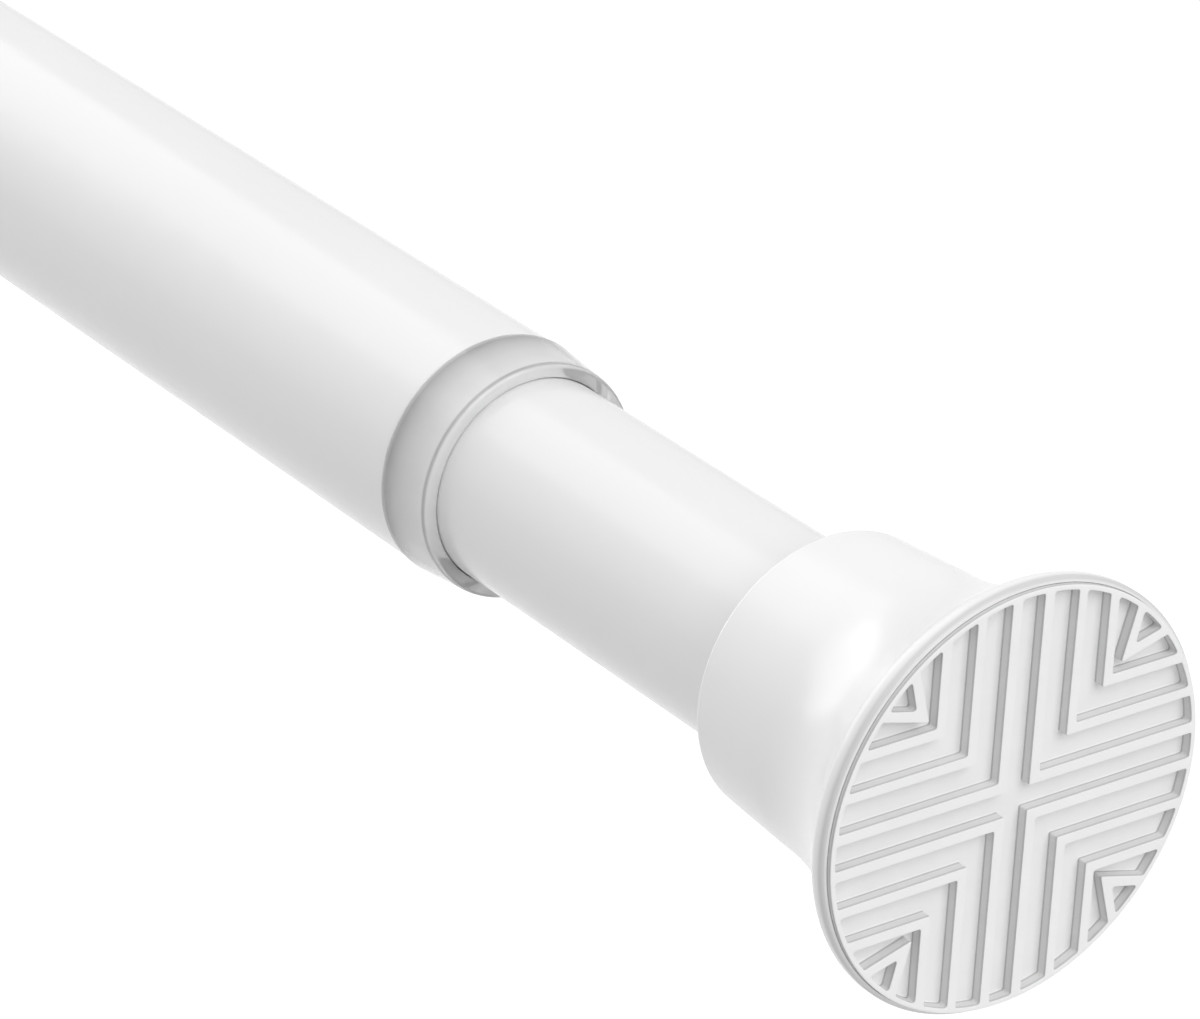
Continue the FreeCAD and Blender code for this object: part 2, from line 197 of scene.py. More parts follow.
# %% A helper that finishes a piece
def finish_piece(piece, body, slot, material, *nodes):
    """Shade a piece, give it its material and body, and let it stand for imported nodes."""
    only(piece)
    bpy.ops.object.shade_smooth()
    bpy.ops.object.modifier_add(type="WEIGHTED_NORMAL")
    modifier = piece.modifiers[-1]
    modifier.keep_sharp = True
    bpy.ops.object.modifier_apply(modifier=modifier.name)
    piece.data.materials.clear()
    piece.data.materials.append(material)
    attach(piece, body)
    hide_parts(*nodes)
    print(piece.name, "faces:", len(piece.data.polygons))


# %% [markdown]
# Each finish is a Principled material. Its plain numbers go straight on its sockets. What makes
# a white surface look real is small: a slow change of tone, a fine change of gloss, and a
# surface that isn't quite flat. So a helper adds a noise for tone, one for gloss and one for
# height, each at its own size on the object, in repeats per metre.

# %% A helper that makes a finish
def surface(name, colour, roughness, **sockets):
    """A Principled material with plain values on its own sockets."""
    material = bpy.data.materials.new(name)
    material.use_nodes = True
    shader = material.node_tree.nodes["Principled BSDF"]
    shader.inputs["Base Color"].default_value = (*colour, 1)
    shader.inputs["Roughness"].default_value = roughness
    for socket, value in sockets.items():
        shader.inputs[socket.replace("_", " ")].default_value = value
    return material


def noise(material, scale, detail=3.0):
    """A noise on the object's own coordinates."""
    nodes, links = material.node_tree.nodes, material.node_tree.links
    place = nodes.new("ShaderNodeTexCoord")
    texture = nodes.new("ShaderNodeTexNoise")
    texture.inputs["Scale"].default_value = scale
    texture.inputs["Detail"].default_value = detail
    links.new(place.outputs["Object"], texture.inputs["Vector"])
    return texture.outputs["Fac"]


def vary_tone(material, scale, first, second):
    """Let the colour drift slowly between two near tones."""
    nodes, links = material.node_tree.nodes, material.node_tree.links
    ramp = nodes.new("ShaderNodeValToRGB")
    ramp.color_ramp.elements[0].position = 0.35
    ramp.color_ramp.elements[1].position = 0.65
    ramp.color_ramp.elements[0].color = (*first, 1)
    ramp.color_ramp.elements[1].color = (*second, 1)
    links.new(noise(material, scale), ramp.inputs["Fac"])
    links.new(ramp.outputs["Color"], nodes["Principled BSDF"].inputs["Base Color"])


def vary_gloss(material, scale, least, most):
    """Let the roughness wander between two values."""
    nodes, links = material.node_tree.nodes, material.node_tree.links
    spread = nodes.new("ShaderNodeMapRange")
    spread.inputs["From Min"].default_value = 0.3
    spread.inputs["From Max"].default_value = 0.7
    spread.inputs["To Min"].default_value = least
    spread.inputs["To Max"].default_value = most
    links.new(noise(material, scale), spread.inputs["Value"])
    links.new(spread.outputs["Result"], nodes["Principled BSDF"].inputs["Roughness"])


def vary_height(material, scale, height, detail=3.0):
    """Raise and lower the surface by a real height."""
    nodes, links = material.node_tree.nodes, material.node_tree.links
    bump = nodes.new("ShaderNodeBump")
    bump.inputs["Distance"].default_value = height
    links.new(noise(material, scale, detail), bump.inputs["Height"])
    links.new(bump.outputs["Normal"], nodes["Principled BSDF"].inputs["Normal"])


# %% [markdown]
# The tubes are steel with a stoved white enamel. Enamel that is sprayed and baked has a gloss
# coat with a faint orange peel, dimples a few millimetres across and a hundredth deep.

# %% White enamel
enamel = surface("white_enamel", (0.9, 0.9, 0.9), 0.22, IOR=1.5)
vary_tone(enamel, 30, (0.892, 0.893, 0.897), (0.906, 0.906, 0.905))
vary_gloss(enamel, 300, 0.18, 0.26)
vary_height(enamel, 420, 0.001 * MM, detail=1.0)

# %% [markdown]
# The feet are moulded in glossy white plastic. It is a little softer in its shine than enamel,
# and the polished mould leaves only a fine grain.

# %% Glossy white shell
shell_white = surface("glossy_white_shell", (0.95, 0.95, 0.95), 0.25, IOR=1.5)
vary_tone(shell_white, 55, (0.942, 0.943, 0.946), (0.955, 0.955, 0.953))
vary_gloss(shell_white, 140, 0.23, 0.27)

# %% [markdown]
# Some tones go by the place along the rod, and they are painted shade. The groove round the tread
# is painted darker, and so are the walls of its channels, most of all at their top edge and their
# foot. Depth is measured from the middle of the rod, outwards both ways, so that the two feet look
# alike. A ramp holds the tones, each at its share of the way from the near place to the far one, and
# multiplies the colour.

# %% A helper that paints shade along the rod
def paint_shade_along(material, centre, near, far, stops):
    """Paint shade: multiply the colour by tones at shares of the way between two distances from a centre."""
    nodes, links = material.node_tree.nodes, material.node_tree.links
    place = nodes.new("ShaderNodeTexCoord")
    split = nodes.new("ShaderNodeSeparateXYZ")
    links.new(place.outputs["Object"], split.inputs["Vector"])
    from_middle = nodes.new("ShaderNodeMath")
    from_middle.operation = "SUBTRACT"
    from_middle.inputs[1].default_value = centre
    links.new(split.outputs["X"], from_middle.inputs[0])
    either_way = nodes.new("ShaderNodeMath")
    either_way.operation = "ABSOLUTE"
    links.new(from_middle.outputs[0], either_way.inputs[0])
    share = nodes.new("ShaderNodeMapRange")
    share.inputs["From Min"].default_value = near
    share.inputs["From Max"].default_value = far
    links.new(either_way.outputs[0], share.inputs["Value"])
    ramp = nodes.new("ShaderNodeValToRGB")
    elements = ramp.color_ramp.elements
    while len(elements) < len(stops):
        elements.new(0.5)
    for element, (at, tone) in zip(elements, stops):
        element.position = at
        element.color = (tone, tone, tone, 1)
    links.new(share.outputs["Result"], ramp.inputs["Fac"])
    blend = nodes.new("ShaderNodeMix")
    blend.data_type = "RGBA"
    blend.blend_type = "MULTIPLY"
    blend.inputs["Factor"].default_value = 1.0
    shader = nodes["Principled BSDF"]
    links.new(shader.inputs["Base Color"].links[0].from_socket, blend.inputs["A"])
    links.new(ramp.outputs["Color"], blend.inputs["B"])
    links.new(blend.outputs["Result"], shader.inputs["Base Color"])


HALF_WAY = FACE / 2
GROOVE_DEPTH = 2 * MM
# Painted shade: a dark band on the bead round the tread, where the groove's shade falls.
GROOVE_PAINTED_SHADE = [(0.25, 0.95), (0.31, 0.72), (0.48, 0.72), (0.68, 0.95), (0.8, 1.0)]
paint_shade_along(shell_white, HALF_WAY, HALF_WAY, HALF_WAY - GROOVE_DEPTH, GROOVE_PAINTED_SHADE)

# %% [markdown]
# The treads are soft white rubber with no shine. Their grain is finer than a tenth of a
# millimetre, and the rubber is a shade darker in patches where it picks up dust.

# %% White rubber
rubber = surface("white_rubber", (0.94, 0.94, 0.94), 0.7, IOR=1.45)
vary_tone(rubber, 240, (0.93, 0.931, 0.933), (0.95, 0.95, 0.948))
vary_gloss(rubber, 2500, 0.62, 0.78)
vary_height(rubber, 7000, 0.006 * MM, detail=2.0)
CHANNEL_DEPTH = 1.2 * MM
PAST_FLOOR = 0.05 * MM
# Painted shade: the channel walls and the pad's side are darker at their top edge and their foot, and the
# floor a little darker than the rib tops.
WALL_PAINTED_SHADE = [(0.02, 1.0), (0.08, 0.64), (0.18, 0.64), (0.29, 0.8), (0.72, 0.8), (0.82, 0.56),
              (0.9, 0.56), (0.94, 0.98)]
paint_shade_along(rubber, HALF_WAY, HALF_WAY, HALF_WAY - CHANNEL_DEPTH - PAST_FLOOR, WALL_PAINTED_SHADE)

# %% [markdown]
# The collar is clear plastic, a solid wall that bends what is seen through it. A faint ripple of
# the mould and a good deal of milky haze keep it from looking like glass. Through it the real one
# shows the white of the tubes, and no light would reach that in the narrow gap, so the faces that
# touch the tubes get a plain white backing.

# %% Clear plastic
clear = surface("clear_plastic", (0.985, 0.985, 0.985), 0.03, IOR=1.49, Transmission_Weight=0.6)
vary_tone(clear, 60, (0.982, 0.982, 0.982), (0.99, 0.99, 0.99))
vary_gloss(clear, 500, 0.015, 0.05)
vary_height(clear, 260, 0.002 * MM, detail=1.0)
backing = surface("white_backing", (0.92, 0.92, 0.92), 0.5)
vary_gloss(backing, 400, 0.45, 0.55)

# %% [markdown]
# Inside are plain engineering finishes: milky nylon for the plugs, the bush and the stop, black
# nylon for the split sleeve, grey acetal for the cone, bright zinc for the spindle and its small
# parts, and oiled steel for the spring.

# %% Finishes of the works inside
nylon = surface("natural_nylon", (0.82, 0.8, 0.74), 0.45, IOR=1.53)
vary_tone(nylon, 90, (0.79, 0.77, 0.7), (0.84, 0.82, 0.77))
vary_gloss(nylon, 900, 0.38, 0.52)
vary_height(nylon, 1500, 0.004 * MM)

black_nylon = surface("black_nylon", (0.025, 0.025, 0.027), 0.5, IOR=1.53)
vary_tone(black_nylon, 120, (0.02, 0.02, 0.022), (0.032, 0.032, 0.034))
vary_gloss(black_nylon, 900, 0.42, 0.58)
vary_height(black_nylon, 2200, 0.006 * MM)

acetal = surface("grey_acetal", (0.35, 0.36, 0.37), 0.4, IOR=1.48)
vary_tone(acetal, 100, (0.33, 0.34, 0.35), (0.37, 0.38, 0.39))
vary_gloss(acetal, 800, 0.34, 0.46)
vary_height(acetal, 1800, 0.003 * MM)

zinc = surface("zinc_plated_steel", (0.74, 0.75, 0.76), 0.3, Metallic=1.0)
vary_tone(zinc, 160, (0.7, 0.72, 0.75), (0.78, 0.78, 0.76))
vary_gloss(zinc, 1200, 0.24, 0.4)
vary_height(zinc, 2600, 0.003 * MM)

spring_steel = surface("spring_steel", (0.42, 0.42, 0.43), 0.34, Metallic=1.0)
vary_tone(spring_steel, 220, (0.36, 0.36, 0.38), (0.48, 0.47, 0.46))
vary_gloss(spring_steel, 1500, 0.26, 0.42)
vary_height(spring_steel, 3000, 0.003 * MM)
print("finishes:", len(bpy.data.materials))

# %% [markdown]
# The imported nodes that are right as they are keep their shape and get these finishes. Only
# their material slots change.

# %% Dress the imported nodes
WORKS = {
    "natural_nylon": ["outer_tube_plug", "inner_tube_plug", "guide_bush", "spring_stop"],
    "black_nylon": ["expansion_sleeve"],
    "grey_acetal": ["wedge_cone"],
    "zinc_plated_steel": ["lock_spindle", "spindle_washer", "spindle_nut", "end_washer", "end_screw"],
}
for finish, names in WORKS.items():
    for name in names:
        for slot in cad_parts[name].material_slots:
            slot.material = bpy.data.materials[finish]
print("dressed:", sum(len(names) for names in WORKS.values()))

# %% [markdown]
# ## The tubes
# A tube is a ring of points drawn along the outside, turned in over the end and drawn back
# along the bore. Its cut ends are deburred to a small round, which shows as a bright line at
# the mouth of the thick tube.

# %% Make the two tubes
DEBURR = 0.22 * MM


def make_tube(name, start, end, radius):
    """A tube with a deburred edge at both ends."""
    bore = radius - TUBE_WALL
    tube = turned(name, [(start, radius), (end, radius), (end, bore), (start, bore)])
    for x in (start, end):
        for ring in (radius, bore):
            round_ring(tube, x, ring, DEBURR)
    return tube


outer_tube = make_tube("outer_tube_enamelled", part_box("outer_tube")[0].x, MOUTH, OUTER_RADIUS)
finish_piece(outer_tube, "outer", "white_enamel", enamel, "outer_tube")
inner_tube = make_tube("inner_tube_enamelled", INNER_START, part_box("inner_tube")[1].x, INNER_RADIUS)
finish_piece(inner_tube, "inner", "white_enamel", enamel, "inner_tube")

# %% [markdown]
# ## The clear collar
# The collar has a sleeve that is pressed in the tube's mouth, a small shoulder that rests on the
# cut edge, and a nose that tapers round the thin tube. Light enters it on all sides, so its
# bore, its shoulder and its rounded nose must all be there, or it won't bend the picture. Its
# colour is painted darkest just inside the mouth and pale towards its front, with a painted dark
# line round the front edge: this is painted shade.

# %% Make the collar
low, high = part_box("clear_collar")
SLEEVE_START = low.x
NOSE_END = high.x
SHOULDER = high.z
NOSE = 12.25 * MM
INSERT = OUTER_BORE - FIT
COLLAR_BORE = INNER_RADIUS + 0.1 * MM
NOSE_ROUND = 0.4 * MM
SHOULDER_ROUND = 0.06 * MM
BORE_ROUND = 0.12 * MM
COLLAR_PAINTED_SHADE = [(0.06, 1.0), (0.085, 0.7), (0.5, 0.9), (0.9, 1.0), (0.935, 0.5), (0.965, 0.6), (0.985, 1.0)]

collar = turned("clear_collar_moulded", [
    (SLEEVE_START, INSERT), (MOUTH, INSERT), (MOUTH, SHOULDER), (NOSE_END, NOSE),
    (NOSE_END, COLLAR_BORE), (SLEEVE_START, COLLAR_BORE),
])
round_ring(collar, NOSE_END, NOSE, NOSE_ROUND, segments=6)
round_ring(collar, NOSE_END, COLLAR_BORE, BORE_ROUND, segments=3)
round_ring(collar, MOUTH, SHOULDER, SHOULDER_ROUND, segments=3)
finish_piece(collar, "outer", "clear_plastic", clear, "clear_collar")
collar.data.materials.append(backing)
for face in collar.data.polygons:
    out = math.hypot(face.center.y, face.center.z)
    if face.center.x < MOUTH + NEAR or out < COLLAR_BORE + NEAR:
        face.material_index = 1
# Painted shade on the clear plastic: darker just inside the mouth, paler towards the front, and a dark line
# round the nose's front edge.
paint_shade_along(clear, MOUTH, 0, NOSE_END - MOUTH, COLLAR_PAINTED_SHADE)

# %% [markdown]
# ## The feet
# A foot is one moulding: a thick collar round the tube that flares in a long curve into a round
# disc with a beaded rim. The flare is an arc, and a helper lists its stations, the way a turner
# steps along a template. The disc has a shallow seat for the tread.

# %% A helper for arcs of an outline
def arc(start, through, end, steps):
    """Stations on the circle through three (x, radius) points, from the first to the last."""
    ax, ay, bx, by, cx, cy = *start, *through, *end
    d = 2 * (ax * (by - cy) + bx * (cy - ay) + cx * (ay - by))
    a2, b2, c2 = ax * ax + ay * ay, bx * bx + by * by, cx * cx + cy * cy
    ux = (a2 * (by - cy) + b2 * (cy - ay) + c2 * (ay - by)) / d
    uy = (a2 * (cx - bx) + b2 * (ax - cx) + c2 * (bx - ax)) / d
    size = math.hypot(ax - ux, ay - uy)
    first, middle, last = (math.atan2(y - uy, x - ux) for x, y in (start, through, end))
    turn = (last - first) % math.tau
    if (middle - first) % math.tau > turn:
        turn -= math.tau
    angles = [first + turn * step / steps for step in range(steps + 1)]
    return [(ux + size * math.cos(angle), uy + size * math.sin(angle)) for angle in angles]


def quarter_round(start, end, centre, steps):
    """Stations of a quarter circle from start to end, round a centre."""
    through = [c + SQUARE_CORNER * (s - c + e - c) for s, e, c in zip(start, end, centre)]
    return arc(start, through, end, steps)


# %% [markdown]
# The outline is written once, as depths from the foot's face, and turned for both feet: the seat
# for the tread, the full round bead, the flare, the collar's lip and the socket for the tube. The
# feet differ only in their bore, and the far one looks the other way.

# %% Make a foot shell
FOOT_DEPTH = 28.1 * MM
FOOT_MOUTH = 14.15 * MM
LIP_ROUND = 0.45 * MM
SEAT_RADIUS = 20.55 * MM
BEAD_ROUND = 0.5 * MM
DISC_RADIUS = SEAT_RADIUS + BEAD_ROUND
PAD_PROUD = 0.5 * MM
PAD_THICKNESS = 1.8 * MM
SPIGOT_RADIUS = 9.0 * MM
SPIGOT_LENGTH = 2.0 * MM
SPIGOT_HOLE = SPIGOT_RADIUS + FIT
BEAD_CREST = PAD_PROUD + BEAD_ROUND
BEAD_TURN = 1.55 * MM
BEAD_BACK = (2.1 * MM, 20.93 * MM)
FLARE_START = (2.6 * MM, 20.6 * MM)
FLARE_MIDDLE = (10.25 * MM, 16.25 * MM)
FLARE_END = (18.5 * MM, 14.78 * MM)


def foot_outline(bore):
    """The outline of a foot, as (depth from its face, radius) corners."""
    bead = quarter_round((PAD_PROUD, SEAT_RADIUS), (BEAD_CREST, DISC_RADIUS), (BEAD_CREST, SEAT_RADIUS), 10)
    back = arc((BEAD_TURN, DISC_RADIUS), BEAD_BACK, FLARE_START, 12)
    flare = arc(FLARE_START, FLARE_MIDDLE, FLARE_END, 28)
    lip_start, lip_end = FOOT_DEPTH - LIP_ROUND, FOOT_MOUTH - LIP_ROUND
    lip = quarter_round((lip_start, FOOT_MOUTH), (FOOT_DEPTH, lip_end), (lip_start, lip_end), 6)
    return [(PAD_THICKNESS, SPIGOT_HOLE), (PAD_THICKNESS, SEAT_RADIUS), *bead, *back, *flare[1:], *lip,
            (FOOT_DEPTH, bore), (SEAT, bore), (SEAT, SPIGOT_HOLE)]


def make_shell(name, tube_radius, face, away):
    """A foot shell whose face is at one end of the rod and whose collar points away from it."""
    bore = tube_radius + FIT
    outline = [(face + away * depth, radius) for depth, radius in foot_outline(bore)]
    shell = turned(name, outline)
    round_ring(shell, face + away * FOOT_DEPTH, bore, BORE_ROUND, segments=3)
    return shell


inner_shell = make_shell("inner_foot_moulded", INNER_RADIUS, FACE, -1)
finish_piece(inner_shell, "inner", "glossy_white_shell", shell_white, "inner_foot_shell")
outer_shell = make_shell("outer_foot_moulded", OUTER_RADIUS, 0.0, 1)
finish_piece(outer_shell, "outer", "glossy_white_shell", shell_white, "outer_foot_shell")

# %% [markdown]
# ## The treads
# A tread is a round rubber pad with channels in its face. Between them stand narrow ribs: a
# cross of open channels through the middle, and in each quarter nested angles whose corners
# point at the centre. It is modelled lying face up, channel by channel. A channel starts as a
# disc that is cut along straight lines, because every channel ends on the same round rim.
# A quarter is the same on both sides of its diagonal, so half of each angle is cut and mirrored.

# %% A helper that cuts a channel's outline from a disc
RIM = 20.12 * MM
PAD_RADIUS = 20.54 * MM
ALONG_ARM = Vector((SQUARE_CORNER, -SQUARE_CORNER, 0))
ACROSS_ARM = Vector((SQUARE_CORNER, SQUARE_CORNER, 0))


def cut_disc(name, cuts):
    """A disc cut along lines: each (point, outward direction) takes off what lies beyond."""
    bpy.ops.object.select_all(action="DESELECT")
    bpy.ops.mesh.primitive_circle_add(vertices=AROUND, radius=RIM, fill_type="NGON")
    piece = bpy.context.object
    piece.name = piece.data.name = name
    bpy.ops.object.mode_set(mode="EDIT")
    for point, outward in cuts:
        bpy.ops.mesh.select_all(action="SELECT")
        bpy.ops.mesh.bisect(plane_co=point, plane_no=outward, clear_outer=True)
    bpy.ops.object.mode_set(mode="OBJECT")
    return piece


def dissolve_edges(piece, wanted):
    """Remove the edges that pass a test, so that the faces beside them become one."""
    select_edges(piece, wanted)
    bpy.ops.mesh.dissolve_edges(use_verts=False)
    bpy.ops.object.mode_set(mode="OBJECT")


# %% [markdown]
# The corners of a moulded channel are round, because a cutter made the mould: a third of a
# millimetre inside a corner, less where a rib's own corner stands out. A corner is a point
# where the outline turns by more than a few degrees, and the sharper it is, the further back
# its round starts. The rim's own points next to a corner are taken out first, to give it room.

# %% A helper that rounds the corners of an outline
INNER_ROUND = 0.32 * MM
OUTER_ROUND = 0.09 * MM
ROOM = 0.8 * MM
LEAST_TURN = math.radians(12)
CORNER_SEGMENTS = 5


def corners(mesh):
    """The outline's corners, each with its place and the angle by which the outline turns."""
    loop = [mesh.vertices[v].co for v in mesh.polygons[0].vertices]
    found = []
    for number, place in enumerate(loop):
        before = place - loop[number - 1]
        after = loop[(number + 1) % len(loop)] - place
        turn = math.atan2(before.cross(after).z, before.dot(after))
        if abs(turn) > LEAST_TURN:
            found.append((place.copy(), turn))
    return found


def pick(piece, wanted):
    """Select the points whose place passes a test."""
    only(piece)
    mesh = piece.data
    for part in (*mesh.polygons, *mesh.edges):
        part.select = False
    for vertex in mesh.vertices:
        vertex.select = wanted(vertex.co)
    bpy.ops.object.mode_set(mode="EDIT")


def round_corners(piece):
    """Round each corner of a flat outline, the sharp ones from further back."""
    for place, turn in corners(piece.data):
        size = INNER_ROUND if turn > 0 else OUTER_ROUND
        pick(piece, lambda point: (point - place).length < NEAR)
        bpy.ops.mesh.bevel(offset=size * math.tan(abs(turn) / 2), segments=CORNER_SEGMENTS,
                           affect="VERTICES")
        bpy.ops.object.mode_set(mode="OBJECT")


def make_room(piece):
    """Take out the rim's points that crowd a corner."""
    places = [place for place, _ in corners(piece.data)]
    pick(piece, lambda point: any(NEAR < (point - place).length < ROOM for place in places)
         and all((point - place).length > NEAR for place in places))
    bpy.ops.mesh.dissolve_verts()
    bpy.ops.object.mode_set(mode="OBJECT")


# %% [markdown]
# A channel is sunk by insetting its face again and again, each time a little lower: first round
# the rib's top edge, then down a wall with a little draft for the mould, then round the foot of
# the wall into the floor. The face that is left is the floor.

# %% A helper that sinks a channel
TOP_ROUND = 0.05 * MM
FLOOR_ROUND = 0.1 * MM
DRAFT = 0.03 * MM
ROUND_STEPS = 4


def sink(piece):
    """Sink the channel's face below the tread."""
    wall = CHANNEL_DEPTH - TOP_ROUND - FLOOR_ROUND
    places = [(0.0, 0.0)]
    for step in range(1, ROUND_STEPS + 1):
        angle = math.pi / 2 * step / ROUND_STEPS
        places.append((TOP_ROUND * math.sin(angle), TOP_ROUND * (1 - math.cos(angle))))
    across, down = places[-1]
    places.append((across + DRAFT, down + wall))
    across, down = places[-1]
    for step in range(1, ROUND_STEPS + 1):
        angle = math.pi / 2 * step / ROUND_STEPS
        places.append((across + FLOOR_ROUND * (1 - math.cos(angle)), down + FLOOR_ROUND * math.sin(angle)))
    only(piece)
    bpy.ops.object.mode_set(mode="EDIT")
    bpy.ops.mesh.select_all(action="SELECT")
    for (across, down), (next_across, next_down) in zip(places, places[1:]):
        bpy.ops.mesh.inset(thickness=next_across - across, depth=down - next_down)
    bpy.ops.object.mode_set(mode="OBJECT")


def finish_channel(piece):
    """Round an outline's corners and sink it."""
    make_room(piece)
    round_corners(piece)
    sink(piece)
    return piece


# %% [markdown]
# The angled channels of a quarter lie between ribs at set distances from its two edges. The
# outermost rib is a narrower V whose arms lean towards the diagonal, so the channel beside it
# and the small triangle beyond it each have one leaning side. Places here are in millimetres,
# along and across one arm of the cross.

# %% Cut the channels of one quarter
HALF_RIB = 0.44
FIRST_RIB = 1.82
SECOND_RIB = 5.6
THIRD_RIB = 9.35
VEE_CORNER = 10.85
VEE_CORNER_WIDTH = 1.3
VEE_END = 12.26
VEE_END_WIDTH = 0.74
RIM_MIDDLE = 20.275


def line_cut(first, last, side):
    """A cut along the line through two places, each given along and across the arm."""
    along, across = last[0] - first[0], last[1] - first[1]
    outward = (ACROSS_ARM * along - ALONG_ARM * across).normalized() * side
    return (ALONG_ARM * first[0] + ACROSS_ARM * first[1]) * MM, outward


def on_rim(across):
    """The place on the rim's middle at a distance across the arm."""
    return math.sqrt(RIM_MIDDLE * RIM_MIDDLE - across * across), across


def mirrored(piece):
    """Mirror a half on the quarter's diagonal and make each pair of faces one."""
    only(piece)
    bpy.ops.object.modifier_add(type="MIRROR")
    piece.modifiers[-1].use_axis = (False, True, False)
    bpy.ops.object.modifier_apply(modifier=piece.modifiers[-1].name)
    dissolve_edges(piece, lambda point: abs(point.y) < NEAR)
    return piece


def channel(name, *cuts):
    """A channel: half of it cut on one side of the diagonal, mirrored, rounded and sunk."""
    return finish_channel(mirrored(cut_disc(name, [(Vector(), Vector((0, 1, 0))), *cuts])))


def level(across, side):
    """A cut at one distance across the arm."""
    return line_cut((0, across), (1, across), side)


vee_outer = VEE_CORNER + VEE_CORNER_WIDTH
quarter = [
    channel("first_angle", level(FIRST_RIB + HALF_RIB, -1), level(SECOND_RIB - HALF_RIB, 1)),
    channel("second_angle", level(SECOND_RIB + HALF_RIB, -1), level(THIRD_RIB - HALF_RIB, 1)),
    channel("third_angle", level(THIRD_RIB + HALF_RIB, -1),
            line_cut((VEE_CORNER, VEE_CORNER), on_rim(VEE_END), 1)),
    channel("triangle", line_cut((vee_outer, vee_outer), on_rim(VEE_END + VEE_END_WIDTH), -1)),
]
for piece in quarter:
    print(piece.name, "faces:", len(piece.data.polygons))

# %% [markdown]
# The channels down the middle make one cross. One arm is cut with a pointed inner end, copied
# three times round the centre, and the lines where the arms meet are dissolved.

# %% Cut the cross
HALF_ARM = (FIRST_RIB - HALF_RIB) * MM


def four_times(piece):
    """Copy everything in a piece three times, each a quarter turn on."""
    only(piece)
    bpy.ops.object.mode_set(mode="EDIT")
    bpy.ops.mesh.select_all(action="SELECT")
    for _ in range(3):
        bpy.ops.mesh.duplicate()
        bpy.ops.transform.rotate(value=math.pi / 2, orient_axis="Z", center_override=(0, 0, 0))
    bpy.ops.mesh.select_all(action="SELECT")
    bpy.ops.mesh.remove_doubles(threshold=NEAR)
    bpy.ops.object.mode_set(mode="OBJECT")


cross = cut_disc("cross", [
    (Vector((0, HALF_ARM, 0)), Vector((0, 1, 0))), (Vector((0, -HALF_ARM, 0)), Vector((0, -1, 0))),
    (Vector(), Vector((-1, 1, 0)).normalized()), (Vector(), Vector((-1, -1, 0)).normalized()),
])
four_times(cross)
middle = math.hypot(HALF_ARM, HALF_ARM) + NEAR
dissolve_edges(cross, lambda point: point.length < middle)
only(cross)
bpy.ops.object.mode_set(mode="EDIT")
bpy.ops.mesh.select_all(action="DESELECT")
bpy.ops.mesh.select_loose()
bpy.ops.mesh.delete(type="VERT")
bpy.ops.object.mode_set(mode="OBJECT")
finish_channel(cross)
print(cross.name, "faces:", len(cross.data.polygons))

# %% [markdown]
# The quarter's channels are joined, turned off the diagonal and copied round. Then the rim's
# outer circle is added and the flat top of the ribs is filled in one go, between that circle and
# all the channels' edges. The circle is then drawn down the side, in under the pad, and round
# the spigot that holds it in the foot.

# %% Put the pad together
def join(first, *others):
    """Join pieces into the first of them."""
    only(first)
    for other in others:
        other.select_set(True)
    bpy.ops.object.join()
    return first


def draw_down(outline):
    """Draw the selected ring down through each (radius, height) corner."""
    for (radius, height), (next_radius, next_height) in zip(outline, outline[1:]):
        bpy.ops.mesh.extrude_region_move(TRANSFORM_OT_translate={"value": (0, 0, next_height - height)})
        ratio = next_radius / radius
        bpy.ops.transform.resize(value=(ratio, ratio, 1), center_override=(0, 0, 0))


EDGE_ROUND = 0.1 * MM
pad = join(*quarter)
pad.rotation_euler = (0, 0, math.radians(45))
bpy.ops.object.transform_apply(location=True, rotation=True, scale=True)
four_times(pad)
bpy.ops.object.select_all(action="DESELECT")
bpy.ops.mesh.primitive_circle_add(vertices=AROUND, radius=PAD_RADIUS - EDGE_ROUND)
rim_circle = bpy.context.object
pad = join(pad, cross, rim_circle)
only(pad)
bpy.ops.object.mode_set(mode="EDIT")
bpy.ops.mesh.select_all(action="DESELECT")
bpy.ops.mesh.select_non_manifold()
bpy.ops.mesh.fill(use_beauty=True)
bpy.ops.object.mode_set(mode="OBJECT")
select_edges(pad, lambda point: abs(math.hypot(point.x, point.y) - PAD_RADIUS + EDGE_ROUND) < NEAR)
edge = [(PAD_RADIUS - EDGE_ROUND * (1 - math.sin(a)), -EDGE_ROUND * (1 - math.cos(a)))
        for a in (math.pi / 2 * step / ROUND_STEPS for step in range(ROUND_STEPS + 1))]
spigot_end = -PAD_THICKNESS - SPIGOT_LENGTH
draw_down([*edge, (PAD_RADIUS, -PAD_THICKNESS), (SPIGOT_RADIUS, -PAD_THICKNESS), (SPIGOT_RADIUS, spigot_end)])
bpy.ops.mesh.edge_face_add()
bpy.ops.mesh.select_all(action="SELECT")
bpy.ops.mesh.normals_make_consistent(inside=False)
bpy.ops.object.mode_set(mode="OBJECT")
bpy.context.tool_settings.mesh_select_mode = (True, False, False)
print("pad faces:", len(pad.data.polygons), "size in mm:", [round(v / MM, 3) for v in pad.dimensions])

# %% [markdown]
# Both feet have the same tread. The pad that lies face up is tipped to face along the rod, and
# a copy with its own mesh is tipped the other way for the far foot.

# %% Set the two treads in their feet
bpy.ops.object.select_all(action="DESELECT")
only(pad)
bpy.ops.object.duplicate()
far_pad = bpy.context.object
for piece, name, tip, face in ((pad, "inner_tread_moulded", 90, FACE),
                               (far_pad, "outer_tread_moulded", -90, 0.0)):
    only(piece)
    piece.name = piece.data.name = name
    piece.rotation_euler = (0, math.radians(tip), 0)
    piece.location = (face, 0, 0)
    bpy.ops.object.transform_apply(location=True, rotation=True, scale=True)
finish_piece(pad, "inner", "white_rubber", rubber, "inner_tread_pad")
finish_piece(far_pad, "outer", "white_rubber", rubber, "outer_tread_pad")

